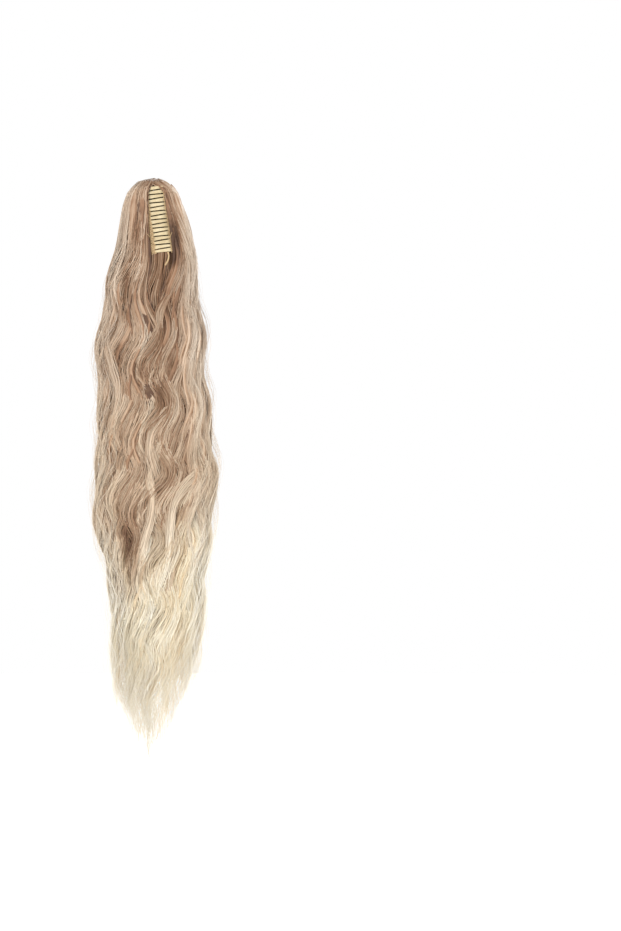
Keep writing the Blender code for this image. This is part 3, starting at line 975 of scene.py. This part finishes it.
def strand_bundle(lock, count):
    """Lines, directions, thickness, tone and age of a lock's strands."""
    place = rng.uniform(-1, 1, count)[:, None]
    deep = rng.uniform(0, 1, count)[:, None] ** 1.4
    high = HAIR_TOP - 0.1 - 4 * rng.uniform(0, 1, count) ** 2
    low = rng.uniform(-38, 34, count)
    begins = np.where(rng.uniform(0, 1, count) < 0.5, high, low)
    ends = np.maximum(lock.bottom + rng.normal(12, 24, count) + 16 * deep[:, 0], LOWEST)
    down = downward(RINGS)
    height = begins[:, None] + (ends - begins)[:, None] * down
    grown = begins[:, None] - height
    at_net = (begins < FROM_CROWN)[:, None]
    gather = fade(-height, -20, 130)
    close = 1 - 0.30 * gather + 0.25 * fade(-height, 420, 620)
    half = lock.half * (1 + 0.2 * np.sin(wave_phase(height) * 0.5 + lock.pace)) * close
    share = lock_share(lock, height) + place * half / HALF_ROUND
    from_net = at_net * (lock.share < 0.45) * (1 - fade(grown, 0, 120))
    astray = rng.normal(0, 0.03, count)[:, None] * fade(down, 0.7, 1)
    share = share * (1 - 0.75 * from_net) + astray
    round_off = LOCK_ROUND * gather * (1 - np.sqrt(1 - 0.95 * place**2))
    rooted = ROOT_DEPTH * (1 - fade(grown, 0, 24)) * at_net
    frizz = 0.25 * np.sin(height / 7 + rng.uniform(0, ANY_TURN, count)[:, None])
    inner = lock.inner + round_off + 1.8 * deep + rooted + frizz - 0.8
    shift = lock.shift + rng.normal(0, 0.13, count)[:, None] * (0.5 + down)
    swing = lock.swing * rng.uniform(0.8, 1.2, count)[:, None]
    lines, out = flow(lock.side, share, height, inner, shift, swing, rate=lock.rate)
    own = rng.normal(0, 0.06, count)[:, None]
    # Deeper strands and those at a lock's edges get darker tones: painted shade, over the lock's real
    # rounding.
    tone = lock.tone + own + 0.08 - 0.06 * deep - 0.26 * place**2 + 0 * height
    thin = 1 - 0.8 * fade(down, 0.5, 1.0) ** 1.3
    radius = rng.uniform(0.32, 0.52, count)[:, None] * thin * fade(down + 0.02, 0, 0.03)
    age = age_at(lines, rng.normal(0, 0.03) + rng.normal(0, 0.02, count)[:, None])
    return lines, out, radius, tone_with_painted_light(tone, lines), age


def strands(name, bundles, body):
    lines, out, radius, tone, age = (np.concatenate(part) for part in zip(*bundles))
    made = tubes(name, lines, out, FLAT * radius, radius / FLAT, tone, age)
    return finished(made, HAIR_FINISH, body)


PARTS = (("front", 0, 0.34), ("side", 0.34, 0.67), ("back", 0.67, 1.1))
HALVES = ((-1, "left", "root"), (1, "right", None))
for part, low, high in PARTS:
    for side, half_name, body in HALVES:
        chosen = [lock for lock in LOCKS if lock.side == side and low <= lock.share < high]
        bundles = [strand_bundle(lock, STRANDS_A_LOCK[part]) for lock in chosen]
        strands(f"strands_{half_name}_{part}", bundles, body)

# %% [markdown]
# ## Stitches
# Cream thread ties the net and the wefts to each jaw. It runs along both ends of the teeth in
# small uneven loops, which grow looser and wider towards the bottom, and on each side one longer
# end of thread sticks out over the hair. Each loop is a bent tube, laid just in front of the
# teeth's ends. The real stitches are seen as a coarse edge, so the loops' places are random.

# %% Stitches
STITCH_RINGS = 12
STITCH_SIDES = 5
STITCH_RADIUS = 0.34
STITCH_ROWS = np.arange(-40, 33, 2.4)
STITCH_LOOPS = 3                 # in each row
CLIP_LEAN = math.radians(8)
TOOTH_END = 11.4                 # where the teeth leave the jaw, across the clip
TOOTH_FRONT = -16.3              # and in depth
LOOSE_ENDS = {-1: ((-14.6, -18.6), (-10.8, -22.8)), 1: ((16.2, -16.4), (11.8, -24.3))}
LOOSE_END_DEPTH = (-21.5, -18.0)


def on_clip(across, height):
    """Places on the leaning clip, from places on the clip itself."""
    x = across * math.cos(CLIP_LEAN) - height * math.sin(CLIP_LEAN)
    return x, across * math.sin(CLIP_LEAN) + height * math.cos(CLIP_LEAN)


def stitch(side, row):
    """One uneven loop of thread at a tooth's end, on the clip's left or right."""
    turn = np.linspace(0, 1.94 * np.pi, STITCH_RINGS)
    looser = float(fade(-row, -5, 35))
    middle = rng.uniform(10.8, 11.6) + looser * rng.uniform(0, 2.2)
    reach = rng.uniform(0.9, 1.7) + looser * rng.uniform(0, 1.4)
    off = middle + reach * np.cos(turn)
    height = row + rng.uniform(0.8, 2.2) * np.sin(turn) + rng.uniform(-2.2, 2.2) * np.cos(turn)
    x, z = on_clip(side * off, height)
    back = 0.33 * np.minimum(off - TOOTH_END, 0) + 0.5 * np.maximum(off - TOOTH_END - 1, 0)
    y = TOOTH_FRONT + back + 0.3 * np.sin(3 * turn) + rng.uniform(-0.5, 0.3)
    return np.stack([x, y, z], -1)


def loose_end(side):
    """A longer end of thread, from over the hair back to the seam."""
    first, last = LOOSE_ENDS[side]
    along = np.linspace(0, 1, STITCH_RINGS)
    x, z = (a + (b - a) * along for a, b in zip(first, last))
    y = np.interp(along, (0, 1), LOOSE_END_DEPTH)
    return np.stack([x + 0.4 * np.sin(3 * along), y, z], -1)


def stitches(name, side, body):
    lines = [stitch(side, row) for row in STITCH_ROWS for _ in range(STITCH_LOOPS)]
    lines = np.array(lines + [loose_end(side)])
    out = np.broadcast_to(np.array([0.0, -1.0, 0.0]), lines.shape)
    thick = np.full(lines.shape[:2], STITCH_RADIUS)
    made = tubes(name, lines, out, thick, thick, 0.5 + 0 * thick, age_at(lines), STITCH_SIDES)
    return finished(made, CLIP_FINISHES["thread_tail"], body)


stitches("stitches_left", -1, "root")
stitches("stitches_right", 1, "right_jaw")

# %% [markdown]
# ## Hair from under the clip
# Below the lowest tooth more hair comes out from behind the clip. It starts deep, in the shadow
# between the two halves, and joins them about 15 cm lower. The left of it is paler than the
# right. It is made as the strands of the locks are, but runs freely through the window.

# %% Hair under the clip
UNDER_LOCKS = 12
UNDER_STRANDS = 14               # in each of them
UNDER_REACH = 0.15               # how far they spread, as a share of each half
UNDER_DEPTH = 3                  # how deep they lie, and how much deeper at their start
UNDER_START_DEPTH = 6


def under_bundle(k):
    side = -1 if k < UNDER_LOCKS / 2 else 1
    count = UNDER_STRANDS
    middle = (k + 0.5) / UNDER_LOCKS * 2 - 1
    share = abs(middle) * UNDER_REACH + rng.uniform(-0.022, 0.022, count)[:, None]
    start = rng.uniform(-40, -35, count)[:, None]
    height = start + (-rng.uniform(430, 600, count)[:, None] - start) * downward(RINGS)
    deeper = UNDER_START_DEPTH * (1 - fade(-height, 90, 190))
    inner = UNDER_DEPTH + deeper + rng.uniform(-1.5, 1.5, count)[:, None]
    shift = rng.normal(0, 0.4) + rng.normal(0, 0.15, count)[:, None]
    lines, out = flow(side, share, height, inner, shift, rng.uniform(0.5, 0.9), free=1.0)
    tone = (0.50 - 0.16 * fade(middle, -0.4, 0.5)) + rng.normal(0, 0.1, count)[:, None] + 0 * height
    radius = rng.uniform(0.36, 0.52, count)[:, None] * (1 - 0.7 * downward(RINGS) ** 3)
    return lines, out, radius, tone_with_painted_light(tone, lines), age_at(lines)


strands("strands_under_clip", [under_bundle(k) for k in range(UNDER_LOCKS)], "root")

# %% [markdown]
# ## Pale locks over the front
# A few pale locks lie over the others and cross the front in long S curves. Their routes are
# short lists of places across and heights, given here and read on a smooth curve. Each strand
# keeps its own small distance to the route, and sinks between the others at both ends.

# %% Pale locks
PALE_MIDDLE = [
    (46, -214), (27, -229), (8, -241), (-7, -260), (-11, -284), (-7, -302), (-1, -325), (-4, -350),
]
ASH_MIDDLE = [
    (14, -256), (-1, -285), (-12, -320), (-8, -341), (-10, -370), (-20, -403), (-27, -434), (-24, -470),
]
BRIGHT_RIGHT = [
    (70, -291), (51, -312), (32, -330), (19, -350), (14, -383), (11, -422), (1, -453), (-4, -490),
]
PALE_LEFT = [
    (-52, -90), (-60, -120), (-66, -150), (-58, -180), (-50, -210), (-57, -245), (-63, -275), (-55, -310),
]
CROSSING = [(0.62, PALE_MIDDLE), (0.64, ASH_MIDDLE), (0.68, BRIGHT_RIGHT), (0.64, PALE_LEFT)]
CROSSING_STRANDS = 34
CROSSING_HALF = 5.5              # half of a pale lock's width
CROSSING_SINK = 9                # how deep its ends lie


def route(places, share):
    """Places across and heights along a smooth curve through a route's points."""
    rows = np.array(places, float)
    place = share * (len(rows) - 1)
    start = np.clip(place.astype(int), 0, len(rows) - 2)
    t = (place - start)[..., None]
    a, b, c, d = (rows[np.clip(start + step, 0, len(rows) - 1)] for step in (-1, 0, 1, 2))
    curve = 2 * b + (c - a) * t + (2 * a - 5 * b + 4 * c - d) * t**2 + (3 * b - a - 3 * c + d) * t**3
    return curve[..., 0] / 2, curve[..., 1] / 2


def front_at(x, height):
    """Depth of the outside of the hair's front at a place across."""
    left, right, front = outline_at(height)[:3]
    off_middle = np.abs(x - (left + right) / 2) / ((right - left) / 2)
    across = np.clip(off_middle, 0, 0.98) ** (1 / SQUARE)
    return front * np.sqrt(1 - across**2) ** SQUARE


def crossing_bundle(tone, places):
    count = CROSSING_STRANDS
    place = rng.uniform(-1, 1, count)[:, None]
    first = rng.uniform(0, 0.2, count)[:, None]
    last = rng.uniform(0.8, 1, count)[:, None]
    share = first + (last - first) * np.linspace(0, 1, RINGS)[None, :]
    x, height = route(places, share)
    own = np.sin(share * 9 + rng.uniform(0, 6, count)[:, None])
    x = x + place * CROSSING_HALF + rng.normal(0, 0.8, count)[:, None] * own
    height = height + rng.uniform(-8, 8, count)[:, None] + place * 3
    sink = CROSSING_SINK * (1 - fade(share, 0, 0.3) + fade(share, 0.7, 1))
    y = front_at(x, height) - 1 + sink + 3 * place**2 + rng.uniform(0, 2, count)[:, None]
    lines = np.stack([x, y, height], -1)
    out = np.broadcast_to(np.array([0.0, -1.0, 0.0]), lines.shape)
    to_end = np.abs(2 * share - 1)
    radius = rng.uniform(0.3, 0.46, count)[:, None] * (1 - 0.7 * to_end**3)
    # The edges of a pale lock and its sinking ends get darker tones: painted shade.
    tones = tone + rng.normal(0, 0.08, count)[:, None] - 0.2 * place**2 - 0.12 * to_end**2
    return lines, out, radius, tones, age_at(lines)


strands("strands_crossing", [crossing_bundle(tone, places) for tone, places in CROSSING], "root")

# %% [markdown]
# ## Loose hairs
# At the edges single hairs stand up to 7 mm away and soften the outline. They are thinner and
# paler, swing out of step and have fewer rings, because there are many of them.

# %% Loose hairs
LOOSE_A_HALF = 165
LOOSE_RINGS = 36
LOOSE_AWAY = 7


def loose_bundle(side, count):
    share = rng.uniform(0.22, 0.95, count)[:, None]
    begins = rng.uniform(-400, 40, count)[:, None]
    ends = np.maximum(begins - rng.uniform(160, 420, count)[:, None], LOWEST)
    down = downward(LOOSE_RINGS)
    height = begins + (ends - begins) * down
    grown = begins - height
    away = rng.uniform(-1, LOOSE_AWAY, count)[:, None] * fade(grown, 0, 90) * fade(-height, -20, 110)
    inner = 2.5 * (1 - fade(grown, 0, 30)) - away
    shift = rng.normal(0, 1.3, count)[:, None]
    swing = rng.uniform(0.5, 1.5, count)[:, None]
    lines, out = flow(side, share, height, inner, shift, swing)
    radius = rng.uniform(0.16, 0.26, count)[:, None] * (1 - 0.7 * down**2)
    tone = rng.normal(0.78, 0.09, count)[:, None] + 0 * height
    return lines, out, radius, tone, age_at(lines)


for side, half_name, body in HALVES:
    strands(f"loose_{half_name}", [loose_bundle(side, LOOSE_A_HALF)], body)
